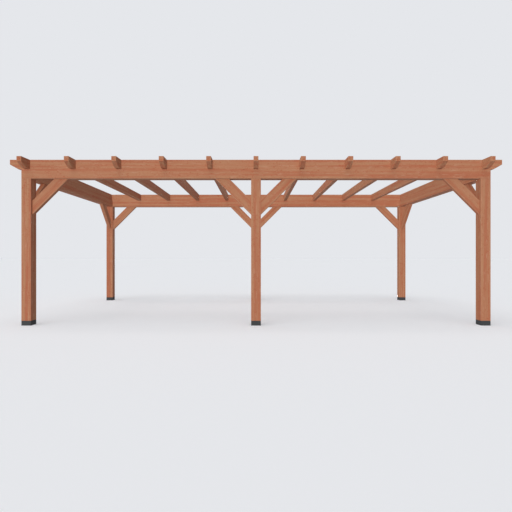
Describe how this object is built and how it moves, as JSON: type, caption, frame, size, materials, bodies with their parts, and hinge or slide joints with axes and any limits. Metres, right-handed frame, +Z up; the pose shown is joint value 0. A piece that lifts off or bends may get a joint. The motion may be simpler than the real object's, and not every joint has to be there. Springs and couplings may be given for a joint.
{
  "type": "patio cover",
  "caption": "Open timber patio cover: square posts in steel shoes, deep beams with bevelled tails, rafters let into the beams and knee braces at every post.",
  "frame": {"origin": "on the ground at the middle of the plan, under the middle of the roof", "axes": "+X along the beams to the right as seen from the front, +Y from the front to the back, +Z up"},
  "size_m": [7.713, 4.223, 2.598],
  "materials": {
    "timber": "planed softwood with a red-brown stain",
    "post_shoe": "matt black coating"
  },
  "bodies": {
    "root": {"front_beam": "timber", "back_beam": "timber", "left_tie": "timber", "right_tie": "timber", "rafter_01": "timber", "rafter_02": "timber", "rafter_03": "timber", "rafter_04": "timber", "rafter_05": "timber", "rafter_06": "timber", "rafter_07": "timber", "rafter_08": "timber", "rafter_09": "timber", "rafter_10": "timber", "rafter_11": "timber", "front_left_post": "timber", "front_middle_post": "timber", "front_right_post": "timber", "front_left_brace": "timber", "front_middle_brace_to_left": "timber", "front_middle_brace_to_right": "timber", "front_right_brace": "timber", "back_left_post": "timber", "back_middle_post": "timber", "back_right_post": "timber", "back_left_brace": "timber", "back_middle_brace_to_left": "timber", "back_middle_brace_to_right": "timber", "back_right_brace": "timber", "left_tie_brace_front": "timber", "left_tie_brace_back": "timber", "right_tie_brace_front": "timber", "right_tie_brace_back": "timber", "front_left_shoe": "post_shoe", "front_middle_shoe": "post_shoe", "front_right_shoe": "post_shoe", "back_left_shoe": "post_shoe", "back_middle_shoe": "post_shoe", "back_right_shoe": "post_shoe"}
  },
  "joints": []
}
